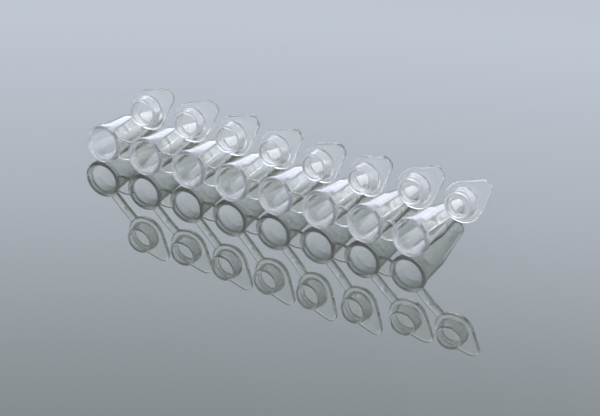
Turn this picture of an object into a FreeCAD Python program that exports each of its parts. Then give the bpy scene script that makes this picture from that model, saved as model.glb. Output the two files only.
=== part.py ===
"""PCR tube strip: eight thin-walled tubes in a row, each with its own hinged cap.

The strip lies on its side, as it comes to rest: the mouths face -Y, the tips point to +Y,
and the open caps stand up behind the mouths on their straps. +X runs along the strip.

Every piece is drawn with the tubes upright and is then laid down by its Placement.
While it is drawn, the mouths lie in the plane z = 0, tube 1 stands on the z axis, and the
row runs along x. Each strap leaves its collar at strap_angle to the row and bends about a
hinge line halfway between the tube and its open cap. Straps and caps are drawn about that
hinge line: x runs along it, and y points from the tube to the middle of the open cap.
"""

import FreeCAD, Part
import enum
import math
import os
import Sketcher

Vector = FreeCAD.Vector
Rotation = FreeCAD.Rotation
Placement = FreeCAD.Placement
X_AXIS = Vector(1, 0, 0)
Z_AXIS = Vector(0, 0, 1)

# Driving dimensions: name, value in millimetres or degrees, and what it is.
SIZES = [
    ("tube_number", 8, "tubes in the row"),
    ("tube_pitch", 9.0, "distance between neighbouring tubes"),
    ("tube_length", 18.8, "mouth to tip"),
    ("bore_radius", 2.8, "inside of the mouth"),
    ("land_depth", 3.0, "straight stretch of the bore that seals on the plug"),
    ("mouth_bevel", 0.15, "bevel that leads the plug into the bore"),
    ("wall", 0.36, "wall of the tube below its sealing land"),
    ("tip_wall", 0.45, "wall at the tip"),
    ("collar_radius", 3.5, "outside of the collar"),
    ("collar_length", 1.1, "height of the collar"),
    ("collar_bevel", 0.12, "bevel round the collar's upper edge"),
    ("body_radius", 3.18, "outside of the tube under the collar"),
    ("shoulder_radius", 2.96, "outside of the tube where the cone begins"),
    ("shoulder_depth", 8.4, "mouth to the start of the cone"),
    ("tip_radius", 1.34, "outside of the cone at the tip, before it is rounded"),
    ("tip_round", 0.8, "rounding of the tip outside"),
    ("tip_round_inside", 0.5, "rounding of the tip inside"),
    ("web_thickness", 0.8, "web between two collars"),
    ("web_setback", 0.15, "web below the mouth plane"),
    ("web_end_height", 3.0, "web where it meets a collar"),
    ("web_crown_height", 3.5, "web halfway between two collars"),
    ("web_root", 3.0, "tube axis to the end of the web, inside the collar"),
    ("strap_angle", 45.0, "direction of the straps against the row"),
    ("strap_width", 1.8, "strap across"),
    ("strap_thickness", 0.7, "strap through"),
    ("hinge_reach", 6.364, "tube axis to hinge line"),
    ("hinge_length", 1.3, "thinned stretch of the strap that bends"),
    ("hinge_thickness", 0.2, "strap through, where it bends"),
    ("hinge_slit", 0.1, "slit between the two halves of the thinned stretch"),
    ("closed_gap", 0.1, "collar to cap when the cap is shut"),
    ("cap_radius", 3.65, "round part of the cap plate"),
    ("cap_thickness", 0.8, "cap plate"),
    ("tab_reach", 6.04, "middle of the cap to the corner of its tab"),
    ("tab_round", 1.6, "rounding of the tab's corner"),
    ("plug_height", 2.3, "plug ring above the cap plate"),
    ("plug_wall", 0.5, "wall of the plug ring"),
    ("plug_clearance", 0.02, "plug to bore, all round"),
    ("plug_bevel", 0.12, "bevel round the plug's free edge"),
]

# How far each open cap leans towards its closed position, in degrees, tube 1 first.
CAP_LEANS = [-2.7, -4.7, 0.7, 2.4, 5.7, 4.6, -6.4, -7.9]


class At(enum.IntEnum):
    """A point of a sketch item, as the sketcher numbers it."""

    START = 1
    END = 2
    CENTRE = 3


class Axis(enum.IntEnum):
    """An axis of a sketch, as the sketcher numbers it."""

    ACROSS = -1
    UP = -2


class Size:
    """A length with its value now and the expression on the sheet that it follows."""

    def __init__(self, value, text):
        self.value = value
        self.text = text

    def __add__(self, other):
        return Size(self.value + other.value, f"{self.text} + {other.text}")

    def __sub__(self, other):
        return Size(self.value - other.value, f"{self.text} - ({other.text})")

    def __truediv__(self, number):
        return Size(self.value / number, f"({self.text}) / {number}")

    def __neg__(self):
        return Size(-self.value, f"-({self.text})")

    def hypotenuse(self, other):
        """Return the long side of the right triangle on this length and another."""
        text = f"sqrt(({self.text}) ^ 2 + ({other.text}) ^ 2)"
        return Size(math.hypot(self.value, other.value), text)


class Sheet:
    """The driving dimensions in a spreadsheet, read back as Size attributes."""

    def __init__(self, doc):
        cells = doc.addObject("Spreadsheet::Sheet", "sizes")
        for row, (name, value, meaning) in enumerate(SIZES, start=1):
            cells.set(f"A{row}", name)
            cells.set(f"B{row}", str(value))
            cells.set(f"C{row}", meaning)
            cells.setAlias(f"B{row}", name)
            setattr(self, name, Size(float(value), f"sizes.{name}"))


class Outline:
    """A sketch whose lines, arcs and dimensions are bound to the sheet."""

    def __init__(self, body, name, plane, depth=None, along_strap=False):
        """Attach a new sketch to one of the body's own origin planes.

        depth puts it below the plane, and along_strap turns its y axis along the strap.
        """
        self.sketch = body.newObject("Sketcher::SketchObject", name)
        self.sketch.AttachmentSupport = [(origin_item(body, plane), "")]
        self.sketch.MapMode = "FlatFace"
        self.sketch.AttachmentOffset = Placement(Vector(), Rotation(Z_AXIS, 0))
        if depth:
            self.sketch.setExpression(".AttachmentOffset.Base.z", (-depth).text)
        if along_strap:
            self.sketch.setExpression(
                ".AttachmentOffset.Rotation.Angle", "sizes.strap_angle - 90")

    def tie(self, kind, *items):
        """Add a geometric constraint, such as Coincident or Tangent."""
        self.sketch.addConstraint(Sketcher.Constraint(kind, *items))

    def bind(self, kind, *items, to):
        """Add a dimension that follows a size."""
        index = self.sketch.addConstraint(Sketcher.Constraint(kind, *items, to.value))
        self.sketch.setExpression(f"Constraints[{index}]", to.text)

    def place(self, item, end, across, up):
        """Bind a point to its coordinates, where the number 0 puts it on an axis."""
        if across == 0:
            self.tie("PointOnObject", item, end, Axis.UP)
        else:
            self.bind("DistanceX", Axis.ACROSS, At.START, item, end, to=across)
        if up == 0:
            self.tie("PointOnObject", item, end, Axis.ACROSS)
        else:
            self.bind("DistanceY", Axis.ACROSS, At.START, item, end, to=up)

    def line(self, start, end):
        """Add a line between two (x, y) pairs of plain numbers and return its index."""
        return self.sketch.addGeometry(Part.LineSegment(Vector(*start, 0), Vector(*end, 0)))

    def arc(self, centre, radius, first, last):
        """Add an arc, counterclockwise between two angles in radians, and return its index."""
        circle = Part.Circle(Vector(*centre, 0), Z_AXIS, radius)
        return self.sketch.addGeometry(Part.ArcOfCircle(circle, first, last))

    def polygon(self, corners):
        """Add a closed polygon through (x, y) corners, each a Size or the number 0."""
        numbers = [tuple(getattr(part, "value", 0.0) for part in corner) for corner in corners]
        lines = [self.line(*pair) for pair in zip(numbers, numbers[1:] + numbers[:1])]
        for line, after, corner in zip(lines, lines[1:] + lines[:1], corners[1:] + corners[:1]):
            self.tie("Coincident", line, At.END, after, At.START)
            self.place(after, At.START, *corner)
        return lines


def origin_item(body, role):
    """Return one of a body's own origin planes or axes."""
    return next(item for item in body.Origin.OriginFeatures if item.Role == role)


def new_body(doc, label):
    """Start a body that names its own file."""
    body = doc.addObject("PartDesign::Body", label)
    body.Label = label
    body.AllowCompound = True
    return body


def pad(body, name, outline, thickness):
    """Pad an outline away from the mouth side."""
    feature = body.newObject("PartDesign::Pad", name)
    feature.Profile = outline.sketch
    feature.Reversed = True
    feature.setExpression("Length", thickness.text)
    return feature


def turn(body, kind, name, outline, axis=("V_Axis",)):
    """Revolve or groove an outline about the sketch's upright axis, a full turn."""
    feature = body.newObject(f"PartDesign::{kind}", name)
    feature.Profile = outline.sketch
    feature.ReferenceAxis = (outline.sketch, list(axis))
    feature.Angle = 360.0
    return feature


def repeat_along_row(doc, body, name, features, number):
    """Repeat features at the tube pitch, where number is an expression."""
    pattern = body.newObject("PartDesign::LinearPattern", name)
    pattern.Originals = features
    pattern.Direction = (origin_item(body, "X_Axis"), [""])
    pattern.Mode = "Spacing"
    pattern.setExpression("Offset", "sizes.tube_pitch")
    pattern.setExpression("Occurrences", number)
    body.Tip = pattern
    doc.recompute()
    return pattern


def dress_rings(doc, body, kind, name, size, height, radius):
    """Fillet or chamfer every circular edge of one radius at one height of the body."""
    base = body.Tip
    rings = [
        f"Edge{number}" for number, edge in enumerate(base.Shape.Edges, start=1)
        if isinstance(edge.Curve, Part.Circle)
        and math.isclose(edge.Curve.Radius, radius.value, abs_tol=1e-4)
        and math.isclose(edge.Curve.Center.z, getattr(height, "value", 0.0), abs_tol=1e-4)
    ]
    if not rings:
        raise RuntimeError(f"{name}: no edge found")
    feature = body.newObject(f"PartDesign::{kind}", name)
    feature.Base = (base, rings)
    feature.setExpression("Radius" if kind == "Fillet" else "Size", size.text)
    body.Tip = feature
    doc.recompute()
    return feature


def draw_tube(body, s):
    """Half section of a tube without its bore: collar, straight wall and cone."""
    outline = Outline(body, "tube_profile", "XZ_Plane")
    outline.polygon([
        (0, 0),
        (s.collar_radius - s.collar_bevel, 0),
        (s.collar_radius, -s.collar_bevel),
        (s.collar_radius, -s.collar_length),
        (s.body_radius, -s.collar_length),
        (s.shoulder_radius, -s.shoulder_depth),
        (s.tip_radius, -s.tube_length),
        (0, -s.tube_length),
    ])
    return outline


def draw_bore(body, s):
    """Half section of the room inside a tube: sealing land, draft and cone."""
    outline = Outline(body, "bore_profile", "XZ_Plane")
    outline.polygon([
        (0, 0),
        (s.bore_radius, 0),
        (s.bore_radius, -s.land_depth),
        (s.shoulder_radius - s.wall, -s.shoulder_depth),
        (s.tip_radius - s.wall, -(s.tube_length - s.tip_wall)),
        (0, -(s.tube_length - s.tip_wall)),
    ])
    return outline


def draw_web(body, s):
    """The flat web between tubes 1 and 2, whose two long edges bulge outwards."""
    outline = Outline(body, "web_outline", "XY_Plane", s.web_setback)
    near, far = s.web_root, s.tube_pitch - s.web_root
    half, crown = s.web_end_height / 2, s.web_crown_height / 2
    middle = s.tube_pitch / 2
    rise = crown.value - half.value
    reach = (far.value - near.value) / 2
    radius = (reach ** 2 + rise ** 2) / (2 * rise)
    sweep = math.asin(reach / radius)
    up, down = math.pi / 2, -math.pi / 2
    left = outline.line((near.value, half.value), (near.value, -half.value))
    right = outline.line((far.value, -half.value), (far.value, half.value))
    top = outline.arc((middle.value, crown.value - radius), radius, up - sweep, up + sweep)
    bottom = outline.arc((middle.value, radius - crown.value), radius, down - sweep, down + sweep)
    for item, end, after, begin in (
            (top, At.END, left, At.START), (left, At.END, bottom, At.START),
            (bottom, At.END, right, At.START), (right, At.END, top, At.START)):
        outline.tie("Coincident", item, end, after, begin)
    outline.place(left, At.START, near, half)
    outline.place(left, At.END, near, -half)
    outline.place(right, At.START, far, -half)
    outline.place(right, At.END, far, half)
    for edge, height in ((top, crown), (bottom, -crown)):
        crest = outline.sketch.addGeometry(Part.Point(Vector(middle.value, height.value, 0)), True)
        outline.place(crest, At.START, middle, height)
        outline.tie("PointOnObject", crest, At.START, edge)
    return outline


def draw_strap(body, name, s, near, far, along_strap=False):
    """A rectangle as wide as the strap, from y = near to y = far."""
    outline = Outline(body, name, "XY_Plane", along_strap=along_strap)
    half = s.strap_width / 2
    outline.polygon([(-half, near), (half, near), (half, far), (-half, far)])
    return outline


def draw_cap_plate(body, s):
    """The cap's outline: a disc drawn out into a tab with one rounded corner."""
    outline = Outline(body, "plate_outline", "XY_Plane")
    middle = s.hinge_reach
    corner = s.hinge_reach + s.tab_reach - s.tab_round
    away = (s.tab_reach - s.tab_round).value
    slope = math.acos((s.cap_radius - s.tab_round).value / away)
    first, last = math.pi / 2 - slope, math.pi / 2 + slope
    disc = outline.arc((0, middle.value), s.cap_radius.value, last, first + 2 * math.pi)
    tab = outline.arc((0, corner.value), s.tab_round.value, first, last)

    def rim(height, radius, angle):
        """Return the point at an angle on a circle whose middle is on the y axis."""
        return (radius.value * math.cos(angle), height.value + radius.value * math.sin(angle))

    right = outline.line(rim(middle, s.cap_radius, first), rim(corner, s.tab_round, first))
    left = outline.line(rim(corner, s.tab_round, last), rim(middle, s.cap_radius, last))
    outline.tie("Tangent", disc, At.END, right, At.START)
    outline.tie("Tangent", right, At.END, tab, At.START)
    outline.tie("Tangent", tab, At.END, left, At.START)
    outline.tie("Tangent", left, At.END, disc, At.START)
    outline.place(disc, At.CENTRE, 0, middle)
    outline.place(tab, At.CENTRE, 0, corner)
    outline.bind("Radius", disc, to=s.cap_radius)
    outline.bind("Radius", tab, to=s.tab_round)
    return outline


def draw_plug(body, s):
    """Half section of the plug ring, which narrows so that it can swing into the bore.

    The far side of the ring turns about the hinge line on a longer arm than its root
    reaches, so its free edge is smaller by the difference.
    """
    outline = Outline(body, "plug_profile", "YZ_Plane")
    arm = s.hinge_reach + s.bore_radius
    swing = arm.hypotenuse(s.plug_height) - arm
    root = s.bore_radius - s.plug_clearance
    edge = root - swing
    outline.polygon([
        (s.hinge_reach + root - s.plug_wall, 0),
        (s.hinge_reach + root, 0),
        (s.hinge_reach + edge, s.plug_height - s.plug_bevel),
        (s.hinge_reach + edge - s.plug_bevel, s.plug_height),
        (s.hinge_reach + edge - s.plug_wall, s.plug_height),
    ])
    axle = outline.line((s.hinge_reach.value, 0), (s.hinge_reach.value, s.plug_height.value))
    outline.sketch.toggleConstruction(axle)
    outline.place(axle, At.START, s.hinge_reach, 0)
    outline.place(axle, At.END, s.hinge_reach, s.plug_height)
    return outline


def make_tube_strip(doc, s):
    """The one moulding of tubes, webs and the tubes' halves of the straps."""
    body = new_body(doc, "tube_strip")
    thin_start = s.hinge_reach - s.hinge_length / 2
    slit = s.hinge_reach - s.hinge_slit / 2
    tube = turn(body, "Revolution", "tube", draw_tube(body, s))
    strap = pad(
        body, "strap", draw_strap(body, "strap_outline", s, 0, thin_start, True), s.strap_thickness)
    hinge = pad(
        body, "hinge", draw_strap(body, "hinge_outline", s, thin_start, slit, True),
        s.hinge_thickness)
    doc.recompute()
    repeat_along_row(doc, body, "tubes", [tube, strap, hinge], "sizes.tube_number")
    web = pad(body, "web", draw_web(body, s), s.web_thickness)
    doc.recompute()
    repeat_along_row(doc, body, "webs", [web], "sizes.tube_number - 1")
    plugged = body.Tip.Shape.Volume
    bore = turn(body, "Groove", "bore", draw_bore(body, s))
    doc.recompute()
    repeat_along_row(doc, body, "bores", [bore], "sizes.tube_number")
    if body.Tip.Shape.Volume > plugged / 2:
        raise RuntimeError("the bores were not cut")
    dress_rings(doc, body, "Fillet", "tips", s.tip_round, -s.tube_length, s.tip_radius)
    dress_rings(doc, body, "Fillet", "tips_inside", s.tip_round_inside,
                -(s.tube_length - s.tip_wall), s.tip_radius - s.wall)
    dress_rings(doc, body, "Chamfer", "mouths", s.mouth_bevel, 0, s.bore_radius)
    return body


def make_cap(doc, s, number):
    """One cap: its plate with the tab, its plug ring and its half of the strap."""
    body = new_body(doc, f"cap_{number}")
    thick_start = s.hinge_length / 2
    pad(body, f"hinge_{number}",
        draw_strap(body, f"hinge_outline_{number}", s, s.hinge_slit / 2, thick_start),
        s.hinge_thickness)
    pad(body, f"strap_{number}",
        draw_strap(body, f"strap_outline_{number}", s, thick_start, s.hinge_reach),
        s.strap_thickness)
    pad(body, f"plate_{number}", draw_cap_plate(body, s), s.cap_thickness)
    turn(body, "Revolution", f"plug_{number}", draw_plug(body, s), ["Axis0"])
    doc.recompute()
    return body


def hinge_placement(s, number, lean):
    """Place a cap at its tube's hinge line, leaning towards its closed position."""
    across_row = s.strap_angle.value
    direction = math.radians(across_row)
    reach = s.hinge_reach.value
    foot = Vector(
        s.tube_pitch.value * (number - 1) + reach * math.cos(direction),
        reach * math.sin(direction), 0)
    to_axis = Vector(0, 0, s.closed_gap.value / 2)
    turned = Placement(foot, Rotation(Z_AXIS, across_row - 90))
    leaned = Placement(to_axis, Rotation(X_AXIS, lean)) * Placement(-to_axis, Rotation())
    return turned * leaned


def lay_down(bodies, s):
    """Lay the upright strip on its collars and cones, centred on the origin."""
    drop = s.collar_radius.value - s.shoulder_radius.value
    run = s.shoulder_depth.value - s.collar_length.value
    tilt = math.degrees(math.atan2(drop, run))
    lying = Placement(Vector(), Rotation(X_AXIS, 90 - tilt))
    for body in bodies:
        body.Placement = lying * body.Placement
    box = Part.makeCompound([body.Shape for body in bodies]).optimalBoundingBox(False, False)
    to_floor = Placement(Vector(-box.Center.x, -box.Center.y, -box.ZMin), Rotation())
    for body in bodies:
        body.Placement = to_floor * body.Placement


def check_and_write(doc, bodies):
    """Stop on any failed object or shape, then write one STEP file for each body."""
    doc.recompute()
    for item in doc.Objects:
        if "Invalid" in item.State or "Error" in item.State:
            raise RuntimeError(f"{item.Name} failed: {item.State}")
    for body in bodies:
        shape = body.Shape
        if shape.isNull() or not shape.isValid() or len(shape.Solids) != 1:
            raise RuntimeError(f"{body.Label} is not one valid solid")
    os.makedirs("parts", exist_ok=True)
    for body in bodies:
        body.Shape.exportStep(f"parts/{body.Label}.step")
        print(f"{body.Label}: {body.Shape.Volume:.2f} cubic mm")


def main():
    """Build the strip and its caps, lay them down and write them."""
    doc = FreeCAD.newDocument("pcr_tube_strip")
    s = Sheet(doc)
    doc.recompute()
    strip = make_tube_strip(doc, s)
    caps = []
    for number, lean in enumerate(CAP_LEANS, start=1):
        cap = make_cap(doc, s, number)
        cap.Placement = hinge_placement(s, number, lean)
        caps.append(cap)
    doc.recompute()
    lay_down([strip] + caps, s)
    check_and_write(doc, [strip] + caps)


main()
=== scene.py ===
"""Looks of a PCR tube strip: eight clear tubes in a row, each with its own hinged cap.

Every piece is drawn in millimetres with the tubes upright: the mouths lie in the plane
z = 0, tube 1 stands on the z axis and the row runs along x. Layout then lays the pieces
down in metres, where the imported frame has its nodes. The strip is one piece, each cap is
one piece, and a thin film of plastic bends between a tube's strap and its cap's strap.
"""

import logging
import math
from dataclasses import dataclass
from enum import Enum
from typing import Callable, Optional, Sequence, Union

import bpy
from mathutils import Matrix, Vector


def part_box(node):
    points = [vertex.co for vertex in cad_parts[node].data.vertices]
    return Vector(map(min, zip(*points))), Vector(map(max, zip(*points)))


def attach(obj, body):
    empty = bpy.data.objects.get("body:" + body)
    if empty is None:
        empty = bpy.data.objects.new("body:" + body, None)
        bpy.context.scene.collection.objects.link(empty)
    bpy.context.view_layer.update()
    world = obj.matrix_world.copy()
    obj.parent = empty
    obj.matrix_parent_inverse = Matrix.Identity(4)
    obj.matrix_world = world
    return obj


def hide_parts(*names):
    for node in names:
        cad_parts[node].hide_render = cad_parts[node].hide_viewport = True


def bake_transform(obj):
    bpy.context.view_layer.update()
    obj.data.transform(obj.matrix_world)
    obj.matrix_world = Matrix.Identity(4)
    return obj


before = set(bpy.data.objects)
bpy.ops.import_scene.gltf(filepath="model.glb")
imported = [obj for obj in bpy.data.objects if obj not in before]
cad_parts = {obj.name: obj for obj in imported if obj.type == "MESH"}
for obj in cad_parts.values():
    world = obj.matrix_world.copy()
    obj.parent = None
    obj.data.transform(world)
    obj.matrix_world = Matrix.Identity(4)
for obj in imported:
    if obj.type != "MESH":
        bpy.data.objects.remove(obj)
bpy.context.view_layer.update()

log = logging.getLogger("tube_strip")
MM = 0.001
QUARTER_TURN = math.pi / 2
# Two places nearer than this, in millimetres, count as one.
NEAR = 1e-3
# The straps' mouth side, just below the mouth plane.
STRAP_TOP = -0.01
# Steps across the rounded edge of a web or a cap plate.
EDGE_SEGMENTS = 6
# The most turns of a ray: in clear plastic, and at anything else that lets it go on.
CLEAR_BOUNCES = 40
GLOSS_BOUNCES = 16

Point = tuple[float, float]
Place = tuple[float, float, float]
Corner = tuple[float, float, float]


class Facing(Enum):
    """Which way an outline's plane lies."""

    FLAT = "x and y"
    UPRIGHT = "x and z"

    def place(self, point: Point, depth: float) -> Place:
        """Put a point of the outline into space.

        Args:
            point: The two coordinates in the outline's plane.
            depth: The third coordinate.

        Returns:
            The point as x, y and z.
        """
        first, second = point
        if self is Facing.FLAT:
            return (first, second, depth)
        return (first, depth, second)


class Finish(Enum):
    """The finishes of a piece, in the order of its material slots."""

    PLAIN = 0
    SEAM = 1
    PLUG = 2


def rounded(corners: Sequence[Corner], closed: bool, steps: int = 5) -> list[Point]:
    """Round the corners of an outline.

    Args:
        corners: Each corner as its two coordinates and the radius of its rounding.
        closed: Whether the last corner joins the first.
        steps: Points along each rounding, less one.

    Returns:
        The points of the outline.
    """
    points: list[Point] = []
    count = len(corners)
    for index, (across, up, radius) in enumerate(corners):
        at_end = not closed and index in (0, count - 1)
        if radius == 0.0 or at_end:
            points.append((across, up))
            continue
        here = Vector((across, up))
        before = (Vector(corners[index - 1][:2]) - here).normalized()
        after = (Vector(corners[(index + 1) % count][:2]) - here).normalized()
        half = before.angle(after) / 2
        middle = here + (before + after).normalized() * radius / math.sin(half)
        first = here + before * radius / math.tan(half) - middle
        last = here + after * radius / math.tan(half) - middle
        turn = first.angle_signed(last)
        for step in range(steps + 1):
            spoke = first.copy()
            spoke.rotate(Matrix.Rotation(-turn * step / steps, 2))
            points.append(tuple(middle + spoke))
    return points


class Bench:
    """The modelling operators, called in the order of work by hand."""

    @staticmethod
    def clear() -> None:
        """Leave edit mode and deselect everything."""
        if bpy.context.mode != "OBJECT":
            bpy.ops.object.mode_set(mode="OBJECT")
        bpy.ops.object.select_all(action="DESELECT")

    @staticmethod
    def take(piece: bpy.types.Object) -> bpy.types.Object:
        """Make a piece the only one selected.

        Args:
            piece: The piece to select.

        Returns:
            The same piece.
        """
        Bench.clear()
        piece.select_set(True)
        bpy.context.view_layer.objects.active = piece
        return piece

    @staticmethod
    def edit(piece: bpy.types.Object) -> None:
        """Open a piece in edit mode with all of it selected.

        Args:
            piece: The piece to open.
        """
        Bench.take(piece)
        bpy.ops.object.mode_set(mode="EDIT")
        bpy.ops.mesh.select_all(action="SELECT")

    @staticmethod
    def close_up(weld: float = 1e-4) -> None:
        """Merge doubles, turn all faces outwards and leave edit mode.

        Args:
            weld: How near two points have to be to become one.
        """
        bpy.ops.mesh.select_all(action="SELECT")
        bpy.ops.mesh.remove_doubles(threshold=weld)
        bpy.ops.mesh.normals_make_consistent(inside=False)
        bpy.ops.object.mode_set(mode="OBJECT")

    @staticmethod
    def draw(name: str, points: Sequence[Point], facing: Facing, depth: float = 0.0,
             closed: bool = False) -> bpy.types.Object:
        """Draw an outline by extruding one point after another, and stay in edit mode.

        Args:
            name: The new piece's name.
            points: The points of the outline, in its plane.
            facing: Which way the plane lies.
            depth: Where the plane lies.
            closed: Whether the outline is filled with a face.

        Returns:
            The new piece.
        """
        Bench.clear()
        bpy.ops.mesh.primitive_plane_add(size=1.0)
        piece = bpy.context.active_object
        piece.name = piece.data.name = name
        bpy.ops.object.mode_set(mode="EDIT")
        bpy.ops.mesh.select_all(action="SELECT")
        bpy.ops.mesh.merge(type="CENTER")
        places = [Vector(facing.place(point, depth)) for point in points]
        bpy.ops.transform.translate(value=places[0])
        for before, after in zip(places, places[1:]):
            bpy.ops.mesh.extrude_vertices_move(
                TRANSFORM_OT_translate={"value": after - before})
        bpy.ops.mesh.select_all(action="SELECT")
        if closed:
            bpy.ops.mesh.edge_face_add()
        return piece

    @staticmethod
    def plate(name: str, points: Sequence[Point], facing: Facing, start: float,
              stop: float, steps: int = 1) -> bpy.types.Object:
        """Fill an outline and extrude it to a plate or a bar.

        Args:
            name: The new piece's name.
            points: The points of the outline, in its plane.
            facing: Which way the plane lies.
            start: The depth of the first face.
            stop: The depth of the second face.
            steps: How many times it is extruded on the way.

        Returns:
            The new closed piece.
        """
        piece = Bench.draw(name, points, facing, start, closed=True)
        through = Vector(facing.place((0.0, 0.0), (stop - start) / steps))
        for _ in range(steps):
            bpy.ops.mesh.extrude_region_move(TRANSFORM_OT_translate={"value": through})
        Bench.close_up()
        return piece

    @staticmethod
    def turned(name: str, points: Sequence[Point], sides: int, closed: bool = False,
               centre: Place = (0.0, 0.0, 0.0)) -> bpy.types.Object:
        """Spin a half section about an upright axis.

        Args:
            name: The new piece's name.
            points: The half section as distances from the axis and heights.
            sides: Steps of the full turn.
            closed: Whether the section is a ring of its own, clear of the axis.
            centre: A point on the axis.

        Returns:
            The new closed piece.
        """
        places = [(centre[0] + out, up) for out, up in points]
        if closed:
            places.append(places[0])
        piece = Bench.draw(name, places, Facing.UPRIGHT, centre[1])
        bpy.ops.mesh.spin(
            steps=sides, angle=4 * QUARTER_TURN, center=centre, axis=(0.0, 0.0, 1.0))
        Bench.close_up()
        return piece

    @staticmethod
    def copy(piece: bpy.types.Object, name: str, matrix: Matrix) -> bpy.types.Object:
        """Copy a piece with its own mesh, and set the copy down by a matrix.

        Args:
            piece: The piece to copy.
            name: The copy's name.
            matrix: Where the copy goes.

        Returns:
            The copy, with its place in its mesh.
        """
        Bench.take(piece)
        bpy.ops.object.duplicate(linked=False)
        twin = bpy.context.active_object
        twin.name = twin.data.name = name
        Bench.settle(twin, matrix)
        return twin

    @staticmethod
    def settle(piece: bpy.types.Object, matrix: Matrix) -> None:
        """Move a piece by a matrix and put the place into its mesh.

        Args:
            piece: The piece to move.
            matrix: Where it goes.
        """
        Bench.take(piece)
        piece.matrix_world = matrix @ piece.matrix_world
        bpy.ops.object.transform_apply(location=True, rotation=True, scale=True)

    @staticmethod
    def join(pieces: Sequence[bpy.types.Object], name: str) -> bpy.types.Object:
        """Join pieces into one object.

        Args:
            pieces: The pieces, which end in the first one.
            name: The whole object's name.

        Returns:
            The whole object.
        """
        Bench.take(pieces[0])
        for piece in pieces:
            piece.select_set(True)
        bpy.ops.object.join()
        whole = bpy.context.active_object
        whole.name = whole.data.name = name
        return whole

    @staticmethod
    def modify(piece: bpy.types.Object, kind: str, **settings: object) -> None:
        """Add a modifier, set it and apply it.

        Args:
            piece: The piece to change.
            kind: The modifier's type.
            settings: The modifier's properties.
        """
        Bench.take(piece)
        modifier = piece.modifiers.new(kind.lower(), kind)
        for key, value in settings.items():
            setattr(modifier, key, value)
        bpy.ops.object.modifier_apply(modifier=modifier.name)

    @staticmethod
    def weld(piece: bpy.types.Object, other: bpy.types.Object) -> bpy.types.Object:
        """Melt another piece into this one.

        Args:
            piece: The piece that stays.
            other: The piece that goes into it.

        Returns:
            The piece that stays.
        """
        Bench.modify(piece, "BOOLEAN", operation="UNION", solver="EXACT", object=other)
        bpy.data.objects.remove(other)
        return piece

    @staticmethod
    def soften(piece: bpy.types.Object, width: float, limit: float = 40.0) -> None:
        """Round the sharp edges of a piece.

        Args:
            piece: The piece to round.
            width: How far the rounding reaches, in millimetres.
            limit: Edges that turn by more than these degrees are sharp.
        """
        Bench.modify(
            piece, "BEVEL", width=width, segments=EDGE_SEGMENTS, limit_method="ANGLE",
            angle_limit=math.radians(limit))

    @staticmethod
    def mark(piece: bpy.types.Object, finish: Finish, chosen: Callable[[Vector], bool]) -> None:
        """Give a finish to some of a piece's faces.

        Args:
            piece: The piece with the faces.
            finish: Their finish.
            chosen: Tells whether a face is one of them, by its middle.
        """
        for face in piece.data.polygons:
            if chosen(face.center):
                face.material_index = finish.value

    @staticmethod
    def polish(piece: bpy.types.Object, sharp: float = 38.0) -> None:
        """Shade a finished piece smooth, with its flats flat and its sharp edges sharp.

        Args:
            piece: The piece to shade.
            sharp: Edges that turn by more than these degrees stay sharp.
        """
        Bench.edit(piece)
        Bench.close_up(NEAR)
        bpy.ops.object.shade_smooth_by_angle(angle=math.radians(sharp))
        Bench.modify(piece, "WEIGHTED_NORMAL", keep_sharp=True)


@dataclass(frozen=True)
class StrapSection:
    """The cross section of the straps, with their long edges well rounded."""

    width: float = 1.8
    thickness: float = 0.7
    edge: float = 0.3

    def bar(self, name: str, start: float, stop: float, steps: int = 1) -> bpy.types.Object:
        """Make a straight piece of strap along y.

        Args:
            name: The piece's name.
            start: Where it starts along y.
            stop: Where it stops along y.
            steps: How many times it is extruded on the way.

        Returns:
            The new piece.
        """
        half = self.width / 2
        corners = [(-half, STRAP_TOP), (half, STRAP_TOP),
                   (half, -self.thickness), (-half, -self.thickness)]
        section = rounded([(*corner, self.edge) for corner in corners], closed=True)
        return Bench.plate(name, section, Facing.UPRIGHT, start, stop, steps)

    def mark_seam(self, piece: bpy.types.Object, hinge: Matrix, end: float) -> None:
        """Mark the end face of a strap, which meets the next piece of strap inside the plastic.

        Args:
            piece: The piece with the strap.
            hinge: The matrix of its hinge line, with y along the strap.
            end: Where the strap ends along y.
        """
        back = hinge.inverted()

        def at_end(middle: Vector) -> bool:
            """Tell whether a face lies in the strap's end.

            Args:
                middle: The middle of the face.

            Returns:
                True if it does.
            """
            place = back @ middle
            return (abs(place.y - end) < NEAR and abs(place.x) < self.width / 2
                    and -self.thickness < place.z < 0.0)

        Bench.mark(piece, Finish.SEAM, at_end)


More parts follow.
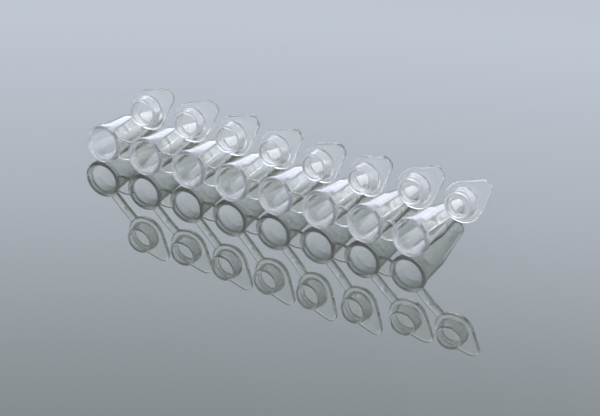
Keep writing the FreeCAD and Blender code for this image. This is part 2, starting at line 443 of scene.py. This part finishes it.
@dataclass
class Layout:
    """Where the upright pieces go when the strip lies on its collars and cones.

    The sizes that tubes and caps share are here, and each open cap's lean towards its
    closed position in degrees.
    """

    tubes: int = 8
    pitch: float = 9.0
    collar_radius: float = 3.5
    collar_length: float = 1.1
    collar_bevel: float = 0.12
    bore_radius: float = 2.8
    shoulder_radius: float = 2.96
    shoulder_depth: float = 8.4
    strap_angle: float = 45.0
    hinge_reach: float = 6.364
    hinge_height: float = 0.05
    film_length: float = 1.3
    milk_fade: float = 0.15
    milk_depth: Point = (0.9, 1.5)
    leans: tuple[float, ...] = (-2.7, -4.7, 0.7, 2.4, 5.7, 4.6, -6.4, -7.9)

    def lying(self) -> Matrix:
        """Find how the upright strip lies in the frame.

        Returns:
            The matrix that lays it down, from millimetres to metres.
        """
        drop = self.collar_radius - self.shoulder_radius
        tilt = math.atan2(drop, self.shoulder_depth - self.collar_length)
        turn = Matrix.Rotation(QUARTER_TURN - tilt, 4, "X")
        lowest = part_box("tube_strip")[0]
        mouth_edge = turn @ Vector((0.0, self.collar_bevel - self.collar_radius, 0.0))
        heel = turn @ Vector((0.0, -self.collar_radius, -self.collar_length))
        corner = Vector((-self.collar_radius, mouth_edge.y, heel.z))
        return Matrix.Translation(lowest - corner * MM) @ Matrix.Scale(MM, 4) @ turn

    def collars(self, parts: Sequence["Maths"]) -> "Maths":
        """Find the collars in a material.

        Args:
            parts: The x, y and z of a place in the strip.

        Returns:
            1 in a collar, 0 away from it, and a soft step between.
        """
        place = self.lying()
        mouth = place @ Vector()
        across, up, out = (place.col[axis].xyz.normalized() for axis in range(3))
        row = (along(parts, across) - mouth.dot(across)).fold(self.pitch * MM / 2)
        side = along(parts, up) - mouth.dot(up)
        depth = mouth.dot(out) - along(parts, out)
        reach = (row ** 2.0 + side ** 2.0) ** 0.5
        outer = self.collar_radius * MM
        first, last = (share * self.collar_length * MM for share in self.milk_depth)
        return (1.0 - reach.ramp(outer, outer + self.milk_fade * MM)) * (
            1.0 - depth.ramp(first, last))

    def at_tube(self, number: int) -> Matrix:
        """Return the matrix from tube 1 to another tube, in the upright strip."""
        return Matrix.Translation((self.pitch * (number - 1), 0.0, 0.0))

    def hinge_flat(self, number: int) -> Matrix:
        """Find a tube's hinge line in the upright strip.

        Args:
            number: The tube's number.

        Returns:
            The hinge line's matrix, with y along the strap.
        """
        swing = Matrix.Rotation(math.radians(self.strap_angle) - QUARTER_TURN, 4, "Z")
        reach = swing @ Vector((0.0, self.hinge_reach, 0.0))
        return self.at_tube(number) @ Matrix.Translation(reach) @ swing

    def hinge_leaning(self, number: int) -> Matrix:
        """Find where an open cap stands in the upright strip.

        Args:
            number: The tube's number.

        Returns:
            The matrix of the cap, which is drawn about its hinge line.
        """
        axis = Vector((0.0, 0.0, self.hinge_height))
        lean = Matrix.Rotation(math.radians(self.leans[number - 1]), 4, "X")
        return (self.hinge_flat(number) @ Matrix.Translation(axis) @ lean
                @ Matrix.Translation(-axis))


@dataclass
class TubeRow:
    """The moulding: tubes with their collars, the webs between them and the strap roots."""

    layout: Layout
    length: float = 18.8
    mouth_radius: float = 2.95
    mouth_round: float = 0.1
    land_depth: float = 3.0
    land_round: float = 3.0
    collar_round: float = 0.28
    collar_foot_round: float = 0.15
    wall: float = 0.36
    tip_wall: float = 0.45
    body_radius: float = 3.18
    body_round: float = 0.1
    shoulder_round: float = 6.0
    tip_radius: float = 1.34
    tip_round: float = 0.8
    tip_round_inside: float = 0.5
    sides: int = 96
    gate_sides: int = 32
    gate_radius: float = 0.42
    gate_end_radius: float = 0.33
    gate_height: float = 0.1
    gate_round: float = 0.05
    web_root: float = 3.05
    web_end: float = 1.5
    web_crown: float = 1.75
    web_top: float = -0.15
    web_bottom: float = -0.95
    web_edge: float = 0.34
    web_steps: int = 14
    strap_root: float = 3.1

    def section(self) -> list[Point]:
        """Draw the half section of a tube.

        Returns:
            The section's points, from the tip outside to the tip inside.
        """
        lay = self.layout
        inner_tip = self.tip_radius - self.wall
        floor = self.tip_wall - self.length
        return rounded([
            (0.0, -self.length, 0.0),
            (self.tip_radius, -self.length, self.tip_round),
            (lay.shoulder_radius, -lay.shoulder_depth, self.shoulder_round),
            (self.body_radius, -lay.collar_length, self.body_round),
            (lay.collar_radius, -lay.collar_length, self.collar_foot_round),
            (lay.collar_radius, 0.0, self.collar_round),
            (self.mouth_radius, 0.0, self.mouth_round),
            (lay.bore_radius, lay.bore_radius - self.mouth_radius, self.mouth_round),
            (lay.bore_radius, -self.land_depth, self.land_round),
            (lay.shoulder_radius - self.wall, -lay.shoulder_depth, self.shoulder_round),
            (inner_tip, floor, self.tip_round_inside),
            (0.0, floor, 0.0),
        ], closed=False)

    def tube(self) -> bpy.types.Object:
        """Spin one hollow tube with its collar."""
        return Bench.turned("tube", self.section(), self.sides)

    def web(self) -> bpy.types.Object:
        """Make the barrel-shaped web between tubes 1 and 2.

        Returns:
            The web, whose ends go into the two collars.
        """
        near, far = self.web_root, self.layout.pitch - self.web_root
        half, rise = (far - near) / 2, self.web_crown - self.web_end
        radius = (half ** 2 + rise ** 2) / (2 * rise)
        top = []
        for step in range(self.web_steps + 1):
            across = half * (2 * step / self.web_steps - 1)
            drop = radius - math.sqrt(radius ** 2 - across ** 2)
            top.append((near + half + across, self.web_crown - drop))
        bottom = [(across, -up) for across, up in reversed(top)]
        web = Bench.plate("web", top + bottom, Facing.FLAT, self.web_top, self.web_bottom)
        Bench.soften(web, self.web_edge)
        return web

    def strap(self) -> bpy.types.Object:
        """Make a tube's half of its strap, turned to the strap's direction.

        Returns:
            The half strap.
        """
        end = self.layout.hinge_reach - self.layout.film_length / 2
        strap = StrapSection().bar("strap", self.strap_root, end)
        angle = math.radians(self.layout.strap_angle) - QUARTER_TURN
        Bench.settle(strap, Matrix.Rotation(angle, 4, "Z"))
        return strap

    def gate(self) -> bpy.types.Object:
        """Make the small stub that the moulding's gate leaves on a tip.

        Returns:
            The stub, which goes as deep into the tip as it stands out.
        """
        section = rounded([
            (0.0, -self.length + self.gate_height, 0.0),
            (self.gate_radius, -self.length + self.gate_height, 0.0),
            (self.gate_end_radius, -self.length - self.gate_height, self.gate_round),
            (0.0, -self.length - self.gate_height, 0.0),
        ], closed=False)
        return Bench.turned("gate", section, self.gate_sides)

    def build(self) -> bpy.types.Object:
        """Melt tubes, straps and webs into the one moulding.

        Returns:
            The moulding, upright.
        """
        lay = self.layout
        cell = Bench.weld(self.tube(), self.strap())
        cell = Bench.weld(cell, self.gate())
        numbers = range(1, lay.tubes + 1)
        cells = [Bench.copy(cell, f"cell_{n}", lay.at_tube(n)) for n in numbers]
        bpy.data.objects.remove(cell)
        web = self.web()
        webs = [Bench.copy(web, f"web_{n}", lay.at_tube(n)) for n in range(1, lay.tubes)]
        bpy.data.objects.remove(web)
        strip = Bench.weld(Bench.join(cells, "strip_of_tubes"), Bench.join(webs, "webs"))
        Bench.polish(strip)
        for number in numbers:
            StrapSection().mark_seam(strip, lay.hinge_flat(number), -lay.film_length / 2)
        return strip


@dataclass
class Cap:
    """A cap about its hinge line: y points from the hinge to the middle of the cap."""

    layout: Layout
    radius: float = 3.65
    thickness: float = 0.8
    tab_reach: float = 6.04
    tab_round: float = 1.6
    plate_edge: float = 0.3
    disc_steps: int = 72
    tab_steps: int = 24
    plug_height: float = 2.3
    plug_wall: float = 0.5
    plug_lip: float = 0.22
    plug_clearance: float = 0.02
    plug_sunk: float = -0.3
    plug_foot: float = -0.01
    plug_margin: float = 0.05
    root_inside: float = 0.2
    root_outside: float = 0.06
    milk_from: float = -0.02
    milk_beyond: float = 0.1
    strap_overlap: float = 0.5
    sides: int = 96

    def plate(self) -> bpy.types.Object:
        """Make the plate: a disc drawn out into a tab with one rounded corner.

        Returns:
            The plate, whose plug side is the plane z = 0.
        """
        reach = self.layout.hinge_reach
        away = self.tab_reach - self.tab_round
        slope = math.acos((self.radius - self.tab_round) / away)
        points = []
        for middle, radius, start, stop, steps in (
                (reach, self.radius, QUARTER_TURN + slope, 5 * QUARTER_TURN - slope,
                 self.disc_steps),
                (reach + away, self.tab_round, QUARTER_TURN - slope, QUARTER_TURN + slope,
                 self.tab_steps)):
            for step in range(steps + 1):
                angle = start + (stop - start) * step / steps
                points.append((radius * math.cos(angle), middle + radius * math.sin(angle)))
        plate = Bench.plate("plate", points, Facing.FLAT, 0.0, -self.thickness)
        Bench.soften(plate, self.plate_edge)
        return plate

    def plug(self) -> bpy.types.Object:
        """Spin the plug ring, which narrows so that it can swing into the bore.

        Returns:
            The ring, with a foot that is sunk into the plate.
        """
        reach = self.layout.hinge_reach
        arm = reach + self.layout.bore_radius
        swing = math.hypot(arm, self.plug_height) - arm
        root = self.layout.bore_radius - self.plug_clearance
        edge = root - swing
        inside = root - self.plug_wall
        inner = inside - self.root_inside - self.plug_margin
        outer = root + self.root_outside + self.plug_margin
        section = rounded([
            (inner, self.plug_sunk, 0.0),
            (outer, self.plug_sunk, 0.0),
            (outer, self.plug_foot, 0.0),
            (root, self.plug_foot, self.root_outside),
            (edge, self.plug_height, self.plug_lip),
            (edge - self.plug_wall, self.plug_height, self.plug_lip),
            (inside, self.plug_foot, self.root_inside),
            (inner, self.plug_foot, 0.0),
        ], closed=True)
        return Bench.turned("plug", section, self.sides, closed=True, centre=(0.0, reach, 0.0))

    def strap(self) -> bpy.types.Object:
        """Make the cap's half of the strap."""
        inside = self.layout.hinge_reach - self.radius + self.strap_overlap
        return StrapSection().bar("cap_strap", self.layout.film_length / 2, inside)

    def build(self) -> bpy.types.Object:
        """Melt plate, plug and strap into one cap.

        Returns:
            The cap, about its hinge line.
        """
        cap = Bench.weld(Bench.weld(self.plate(), self.plug()), self.strap())
        Bench.polish(cap)
        StrapSection().mark_seam(cap, Matrix(), self.layout.film_length / 2)
        Bench.mark(cap, Finish.PLUG, self.in_plug)
        return cap

    def in_plug(self, place: Vector) -> bool:
        """Tell whether a place on the cap is on its plug ring.

        Args:
            place: The place, about the hinge line.

        Returns:
            True if it is.
        """
        out = (place.xy - Vector((0.0, self.layout.hinge_reach))).length
        bore = self.layout.bore_radius
        inside = bore - self.plug_wall - self.root_inside
        return place.z > self.milk_from and inside < out < bore + self.milk_beyond


@dataclass
class HingeFilm:
    """The waist of plastic that bends between a tube's strap and its cap's strap."""

    layout: Layout
    overlap: float = 0.01
    waist: float = 0.665
    rows: int = 26
    sharp: float = 40.0

    def build(self, number: int) -> bpy.types.Object:
        """Make one film, thinned in its middle and bent by its cap's lean.

        Args:
            number: The tube's number.

        Returns:
            The film about its hinge line.
        """
        reach = self.layout.film_length / 2 + self.overlap
        section = StrapSection()
        film = section.bar(f"hinge_film_{number}", -reach, reach, self.rows)
        hollow = 1.0 - self.waist / section.thickness
        for vertex in film.data.vertices:
            deep = hollow * (1.0 + math.cos(math.pi * vertex.co.y / reach)) / 2
            vertex.co.z = STRAP_TOP + (vertex.co.z - STRAP_TOP) * (1.0 - deep)
        for end in (-reach, reach):
            section.mark_seam(film, Matrix(), end)
        self.bend(film, math.radians(self.layout.leans[number - 1]))
        return film

    def bend(self, film: bpy.types.Object, lean: float) -> None:
        """Turn the film's points about the hinge line, more and more towards the cap.

        Args:
            film: The straight film.
            lean: How far its cap leans, in radians.
        """
        axis = Vector((0.0, 0.0, self.layout.hinge_height))
        for vertex in film.data.vertices:
            share = min(max(vertex.co.y / self.layout.film_length + 0.5, 0.0), 1.0)
            # A soft step: the film leaves both straps without a kink.
            share = share * share * (3.0 - 2.0 * share)
            arm = vertex.co - axis
            arm.rotate(Matrix.Rotation(lean * share, 3, "X"))
            vertex.co = axis + arm

    def ends(self, number: int) -> tuple[Vector, Vector]:
        """Find where a film starts and ends.

        Args:
            number: The tube's number.

        Returns:
            Both ends, upright, the tube's end first.
        """
        flat, half = self.layout.hinge_flat(number), self.layout.film_length / 2
        return flat @ Vector((0, -half, 0)), flat @ Vector((0, half, 0))


Value = Union["Maths", float]


def along(parts: Sequence["Maths"], way: Sequence[float]) -> "Maths":
    """Return how far a vector, given by its parts, reaches along a way."""
    return parts[0] * way[0] + parts[1] * way[1] + parts[2] * way[2]


class Maths:
    """A value in a material, on which the usual operators add Math nodes."""

    def __init__(self, nodes: "NodeBoard", socket: bpy.types.NodeSocket) -> None:
        """Wrap an output socket of one of the board's nodes."""
        self.nodes = nodes
        self.socket = socket

    def _join(self, operation: str, *values: Value) -> "Maths":
        """Add a Math node on some values."""
        return self.nodes.add("ShaderNodeMath", {"operation": operation}, *values)

    def __add__(self, other: Value) -> "Maths":
        """Add a value."""
        return self._join("ADD", self, other)

    def __radd__(self, other: Value) -> "Maths":
        """Add to a value."""
        return self._join("ADD", other, self)

    def __sub__(self, other: Value) -> "Maths":
        """Take a value away."""
        return self._join("SUBTRACT", self, other)

    def __rsub__(self, other: Value) -> "Maths":
        """Take this away from a value."""
        return self._join("SUBTRACT", other, self)

    def __mul__(self, other: Value) -> "Maths":
        """Multiply by a value."""
        return self._join("MULTIPLY", self, other)

    def __rmul__(self, other: Value) -> "Maths":
        """Multiply a value by this."""
        return self._join("MULTIPLY", other, self)

    def __pow__(self, other: Value) -> "Maths":
        """Raise to a power."""
        return self._join("POWER", self, other)

    def fold(self, half: float) -> "Maths":
        """Return the distance to the nearest whole multiple of twice a half."""
        return self._join("PINGPONG", self, half)

    def ramp(self, low: float, high: float) -> "Maths":
        """Return 0 below low, 1 above high and a smooth step between them."""
        return self.nodes.add(
            "ShaderNodeMapRange", {"interpolation_type": "SMOOTHSTEP"}, self, low, high, 0.0, 1.0)


class NodeBoard:
    """The nodes of one material or world."""

    def __init__(self, owner: Union[bpy.types.Material, bpy.types.World]) -> None:
        """Clear the owner's nodes.

        Args:
            owner: The material or world that the board belongs to.
        """
        owner.use_nodes = True
        self.tree = owner.node_tree
        self.tree.nodes.clear()

    def node(self, kind: str, settings: Optional[dict[str, object]] = None,
             *values: object, **named: object) -> bpy.types.Node:
        """Add a node.

        Args:
            kind: The node's type.
            settings: Properties such as a Math node's operation, set first.
            values: Numbers, colours or links for its inputs, in order.
            named: The same for inputs by name, where _ stands for a space.

        Returns:
            The new node.
        """
        new = self.tree.nodes.new(kind)
        for key, value in (settings or {}).items():
            setattr(new, key, value)
        inputs = list(zip(new.inputs, values))
        inputs += [(new.inputs[key.replace("_", " ")], value) for key, value in named.items()]
        for socket, value in inputs:
            self.fill(socket, value)
        return new

    def fill(self, socket: bpy.types.NodeSocket, value: object) -> None:
        """Link or set one input, where a colour of three parts is made opaque.

        Args:
            socket: The input.
            value: A number, a colour, a value or an output.
        """
        if isinstance(value, Maths):
            value = value.socket
        if isinstance(value, bpy.types.NodeSocket):
            self.tree.links.new(value, socket)
        elif isinstance(value, tuple) and socket.type == "RGBA":
            socket.default_value = (*value[:3], 1.0)
        else:
            socket.default_value = value

    def add(self, kind: str, settings: Optional[dict[str, object]] = None,
            *values: object, **named: object) -> Maths:
        """Add a node as node does, and return its first output as a value."""
        return Maths(self, self.node(kind, settings, *values, **named).outputs[0])

    def mix(self, share: Value, first: object, second: object) -> Maths:
        """Add a mix of two colours.

        Args:
            share: How much of the second colour there is, from 0 to 1.
            first: The first colour.
            second: The second colour.

        Returns:
            The mixed colour.
        """
        mixed = self.node("ShaderNodeMix", {"data_type": "RGBA"})
        for name, value in ((0, share), (6, first), (7, second)):
            self.fill(mixed.inputs[name], value)
        return Maths(self, mixed.outputs[2])

    def ramp_of_colours(self, by: Maths, stops: Sequence[tuple[float, Place]]) -> Maths:
        """Add a colour ramp.

        Args:
            by: The value that picks the colour.
            stops: Each stop's position and colour.

        Returns:
            The colour.
        """
        ramp = self.node("ShaderNodeValToRGB", None, by)
        elements = ramp.color_ramp.elements
        while len(elements) < len(stops):
            elements.new(0.5)
        for element, (position, colour) in zip(elements, stops):
            element.position = position
            element.color = (*colour, 1.0)
        return Maths(self, ramp.outputs[0])

    def parts(self, vector: bpy.types.NodeSocket) -> list[Maths]:
        """Split a vector into its x, y and z."""
        split = self.node("ShaderNodeSeparateXYZ", None, vector)
        return [Maths(self, split.outputs[axis]) for axis in "XYZ"]

    def noise(self, scale: float, detail: float, stretch: Place = (1.0, 1.0, 1.0)) -> Maths:
        """Add noise on the piece's own coordinates.

        Args:
            scale: Waves in a metre.
            detail: Octaves of finer noise.
            stretch: How much closer the waves lie along each axis.

        Returns:
            The noise, from 0 to 1.
        """
        at = self.node("ShaderNodeTexCoord").outputs["Object"]
        spread = self.node("ShaderNodeMapping", {"vector_type": "POINT"}, at, Scale=stretch)
        return self.add(
            "ShaderNodeTexNoise", None, Vector=spread.outputs[0], Scale=scale, Detail=detail)

    def output(self, kind: str, surface: Union[Maths, bpy.types.NodeSocket]) -> None:
        """Add the output node and link the surface to it."""
        self.node(kind, None, surface)


@dataclass(frozen=True)
class Polypropylene:
    """Clear natural polypropylene with its faint haze and flow lines.

    The clear part refracts, and the haze is the milky light that the plastic scatters.
    """

    name: str
    tint: Place = (0.985, 0.994, 0.965)
    tint_dull: Place = (0.975, 0.984, 0.952)
    haze_colour: Place = (0.87, 0.9, 0.93)
    haze: float = 0.012
    haze_edge: float = 0.02
    haze_edge_power: float = 3.0
    haze_back: float = 0.5
    haze_collar: float = 0.24
    ior: float = 1.49
    roughness: float = 0.06
    roughness_spread: float = 0.035
    cloud_scale: float = 260.0
    cloud_detail: float = 3.0
    cloud_tint: Point = (0.3, 0.7)
    cloud_rough: Point = (0.35, 0.75)
    cloud_haze: Point = (0.7, 0.6)
    flow_scale: float = 420.0
    flow_detail: float = 1.0
    flow_stretch: Place = (1.0, 0.25, 1.0)
    flow_height: float = 0.000006
    grain_scale: float = 6500.0
    grain_detail: float = 2.0
    grain_height: float = 0.0000015

    def build(self, layout: Optional[Layout] = None) -> bpy.types.Material:
        """Make the material.

        Args:
            layout: Where the collars are, which are thicker and so milkier, if it has any.

        Returns:
            The material.
        """
        material = bpy.data.materials.new(self.name)
        board = NodeBoard(material)
        clouds = board.noise(self.cloud_scale, self.cloud_detail)
        flow = board.noise(self.flow_scale, self.flow_detail, self.flow_stretch)
        grain = board.noise(self.grain_scale, self.grain_detail)
        tint = board.ramp_of_colours(
            clouds, list(zip(self.cloud_tint, (self.tint_dull, self.tint))))
        rough = self.roughness + self.roughness_spread * clouds.ramp(*self.cloud_rough)
        wave = board.node("ShaderNodeBump", None, Strength=1.0, Distance=self.flow_height,
                          Height=flow)
        bump = board.node("ShaderNodeBump", None, Strength=1.0, Distance=self.grain_height,
                          Height=grain, Normal=wave.outputs[0])
        normal = bump.outputs[0]
        clear = board.add(
            "ShaderNodeBsdfPrincipled", None, Base_Color=tint, Roughness=rough, IOR=self.ior,
            Transmission_Weight=1.0, Normal=normal)
        milk = board.add(
            "ShaderNodeBsdfTranslucent", None, self.haze_colour, normal)
        chalk = board.add(
            "ShaderNodeBsdfDiffuse", None, self.haze_colour, 0.0, normal)
        scatter = board.add("ShaderNodeMixShader", None, self.haze_back, milk, chalk)
        rim = Maths(board, board.node("ShaderNodeLayerWeight", None, 0.5).outputs["Facing"])
        edge = self.haze_edge * rim ** self.haze_edge_power
        even, cloudy = self.cloud_haze
        share = self.haze * (even + cloudy * clouds) + edge
        if layout:
            place = board.parts(board.node("ShaderNodeTexCoord").outputs["Object"])
            share = share + self.haze_collar * layout.collars(place)
        board.output("ShaderNodeOutputMaterial", board.add(
            "ShaderNodeMixShader", None, share, clear, scatter))
        return material


@dataclass(frozen=True)
class Seam:
    """The hidden faces where two pieces of strap meet inside the plastic: light goes on."""

    name: str = "seam_inside_plastic"

    def build(self) -> bpy.types.Material:
        """Make the material.

        Returns:
            The material.
        """
        material = bpy.data.materials.new(self.name)
        board = NodeBoard(material)
        board.output("ShaderNodeOutputMaterial", board.add(
            "ShaderNodeBsdfPrincipled", None, Base_Color=(1.0, 1.0, 1.0), Roughness=0.0,
            IOR=1.0, Transmission_Weight=1.0))
        return material


@dataclass(frozen=True)
class GlossyFloor:
    """A pale floor under a deep gloss, which grows as it is seen more from the side.

    It is paler seen through the clear plastic, and darker in what the gloss itself reflects.
    """

    name: str = "pale_gloss_floor"
    colour: Place = (0.305, 0.32, 0.295)
    colour_through: Place = (0.85, 0.86, 0.87)
    colour_reflected: Place = (0.06, 0.08, 0.03)
    mirror: Place = (0.205, 0.219, 0.191)
    gloss: float = 0.25
    gloss_gain: float = 0.68
    gloss_edge: Point = (0.25, 0.6)
    roughness: float = 0.015
    dust: float = 0.008
    dust_scale: float = 30.0
    dust_detail: float = 4.0

    def build(self) -> bpy.types.Material:
        """Make the material.

        Returns:
            The material.
        """
        material = bpy.data.materials.new(self.name)
        board = NodeBoard(material)
        rough = self.roughness + self.dust * board.noise(self.dust_scale, self.dust_detail)
        path = board.node("ShaderNodeLightPath").outputs
        shade = board.mix(
            path["Glossy Depth"],
            board.mix(path["Transmission Depth"], self.colour, self.colour_through),
            self.colour_reflected)
        matt = board.add("ShaderNodeBsdfDiffuse", None, shade, 0.0)
        sheen = board.add("ShaderNodeBsdfGlossy", None, self.mirror, rough)
        facing = Maths(board, board.node("ShaderNodeLayerWeight", None, 0.5).outputs["Facing"])
        share = self.gloss + self.gloss_gain * facing.ramp(*self.gloss_edge)
        board.output("ShaderNodeOutputMaterial", board.add(
            "ShaderNodeMixShader", None, share, matt, sheen))
        return material


@dataclass
class Floor:
    """The floor under the strip."""

    size: float = 12.0

    def build(self, finish: GlossyFloor) -> bpy.types.Object:
        """Lay the floor at height 0.

        Args:
            finish: The floor's finish.

        Returns:
            The floor.
        """
        Bench.clear()
        bpy.ops.mesh.primitive_plane_add(size=self.size)
        floor = bpy.context.active_object
        floor.name = floor.data.name = "floor"
        floor.data.materials.append(finish.build())
        return floor


@dataclass
class Studio:
    """The light all round: a wall of light behind the strip, a lamp above it and a low glow.

    Each aim is the direction that a light comes from, and its edge says how near to the
    aim, as a cosine, it begins and reaches full strength. The low glow is all round: its edge
    says how high it ends, and the dim light is what is left above it. The wall has a stop for
    each height, as the upward part of a direction. Where the camera looks past the floor, it
    sees a plain level instead.
    """

    strength: float = 3.0
    dim: Place = (0.27, 0.29, 0.27)
    low: Place = (1.35, 1.36, 1.52)
    low_edge: Point = (0.42, 0.62)
    lamp: Place = (3.65, 3.55, 4.05)
    lamp_aim: Place = (0.25, -0.40, 0.88)
    lamp_edge: Point = (0.8, 0.93)
    wall_aim: Place = (-0.64, 0.77, 0.0)
    wall_edge: Point = (0.35, 0.75)
    seen: Place = (0.6, 0.62, 0.65)
    wall: tuple[tuple[float, Place], ...] = (
        (0.0, (1.6, 1.6, 1.85)), (0.25, (1.75, 1.77, 2.05)), (0.342, (2.35, 2.41, 3.05)),
        (0.399, (2.6, 2.66, 3.5)), (0.454, (1.95, 2.01, 2.55)), (0.515, (0.85, 0.93, 1.12)),
        (0.643, (0.4, 0.42, 0.45)), (0.8, (0.3, 0.31, 0.3)))

    def build(self) -> bpy.types.World:
        """Make the world and hang it in the scene.

        Returns:
            The world.
        """
        world = bpy.data.worlds.new("soft_wall_of_light")
        bpy.context.scene.world = world
        board = NodeBoard(world)
        toward = board.node("ShaderNodeTexCoord").outputs["Generated"]
        ways = board.parts(toward)
        wall = board.ramp_of_colours(ways[2], [(at, self.dimmed(level)) for at, level in self.wall])
        glow = board.mix(
            along(ways, self.lamp_aim).ramp(*self.lamp_edge),
            board.mix(ways[2].ramp(*self.low_edge), self.dimmed(self.low), self.dimmed(self.dim)),
            self.dimmed(self.lamp))
        glow = board.mix(along(ways, self.wall_aim).ramp(*self.wall_edge), glow, wall)
        path = board.node("ShaderNodeLightPath").outputs
        glow = board.mix(path["Is Camera Ray"], glow, self.dimmed(self.seen))
        board.output("ShaderNodeOutputWorld", board.add(
            "ShaderNodeBackground", None, glow, self.strength))
        return world

    def dimmed(self, level: Place) -> Place:
        """Return a level of light as a colour that the world's strength multiplies."""
        return tuple(part / self.strength for part in level)


@dataclass
class Viewpoint:
    """The camera, aimed at a point on the floor near the middle of the strip."""

    target: Place = (1.887, -3.155, 0.0)
    azimuth: float = 29.35
    elevation: float = 26.93
    roll: float = 2.73
    distance: float = 546.827
    lens: float = 186.17274
    sensor: float = 36.0
    nearest: float = 0.01
    farthest: float = 50.0

    def build(self) -> bpy.types.Object:
        """Place the camera and make it the scene's own.

        Returns:
            The camera.
        """
        turn, rise = math.radians(self.azimuth), math.radians(self.elevation)
        back = Vector((math.sin(turn) * math.cos(rise), -math.cos(turn) * math.cos(rise),
                       math.sin(rise)))
        level = Vector((math.cos(turn), math.sin(turn), 0.0))
        up = back.cross(level)
        bank = math.radians(self.roll)
        right = level * math.cos(bank) + up * math.sin(bank)
        top = up * math.cos(bank) - level * math.sin(bank)
        data = bpy.data.cameras.new("camera")
        data.sensor_width = self.sensor
        data.lens = self.lens
        data.clip_start = self.nearest
        data.clip_end = self.farthest
        camera = bpy.data.objects.new("camera", data)
        bpy.context.scene.collection.objects.link(camera)
        place = (Vector(self.target) + back * self.distance) * MM
        axes = Matrix((right, top, back)).transposed().to_4x4()
        camera.matrix_world = Matrix.Translation(place) @ axes
        bpy.context.scene.camera = camera
        return camera


def cover(piece: bpy.types.Object, materials: Sequence[bpy.types.Material]) -> None:
    """Give a piece its materials, in the order of Finish."""
    for material in materials:
        piece.data.materials.append(material)


def hand_over(piece: bpy.types.Object, materials: Sequence[bpy.types.Material], body: str) -> None:
    """Let a finished rigid piece stand for the CAD node of its body's name.

    Args:
        piece: The piece, in place.
        materials: Its finishes, in the order of Finish.
        body: The body that it rides on, which has the name of its one CAD node.
    """
    cover(piece, materials)
    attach(piece, body)
    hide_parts(body)
    log.info("%s: %d faces on %s", piece.name, len(piece.data.polygons), body)


def set_light_paths() -> None:
    """Let light pass through as many walls of clear plastic as the row has."""
    cycles = bpy.context.scene.cycles
    cycles.max_bounces = CLEAR_BOUNCES
    cycles.transmission_bounces = CLEAR_BOUNCES
    cycles.glossy_bounces = GLOSS_BOUNCES
    cycles.transparent_max_bounces = GLOSS_BOUNCES


def main() -> None:
    """Build the strip, its caps and hinge films, then floor, light and camera."""
    logging.basicConfig(level=logging.INFO, format="%(message)s")
    layout = Layout()
    lying = layout.lying()
    seam = Seam().build()
    tube_finishes = [Polypropylene("clear_tubes").build(layout), seam]
    cap_finishes = [Polypropylene("clear_caps").build(), seam,
                    Polypropylene("clear_plugs", haze=0.22).build()]

    strip = TubeRow(layout).build()
    Bench.settle(strip, lying)
    hand_over(strip, tube_finishes, "tube_strip")

    pattern = Cap(layout).build()
    films = HingeFilm(layout)
    for number in range(1, layout.tubes + 1):
        place = lying @ layout.hinge_leaning(number)
        cap = Bench.copy(pattern, f"flip_cap_{number}", place)
        hand_over(cap, cap_finishes, f"cap_{number}")
        film = films.build(number)
        Bench.settle(film, lying @ layout.hinge_flat(number))
        bpy.ops.object.shade_smooth_by_angle(angle=math.radians(films.sharp))
        cover(film, cap_finishes[:Finish.PLUG.value])
        start, end = (lying @ point for point in films.ends(number))
        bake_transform(film)
        log.info("%s: %d faces", film.name, len(film.data.polygons))
    bpy.data.objects.remove(pattern)

    Floor().build(GlossyFloor())
    Studio().build()
    Viewpoint().build()
    set_light_paths()
    bpy.context.scene.view_settings.view_transform = "Standard"


if __name__ == "__main__":
    main()
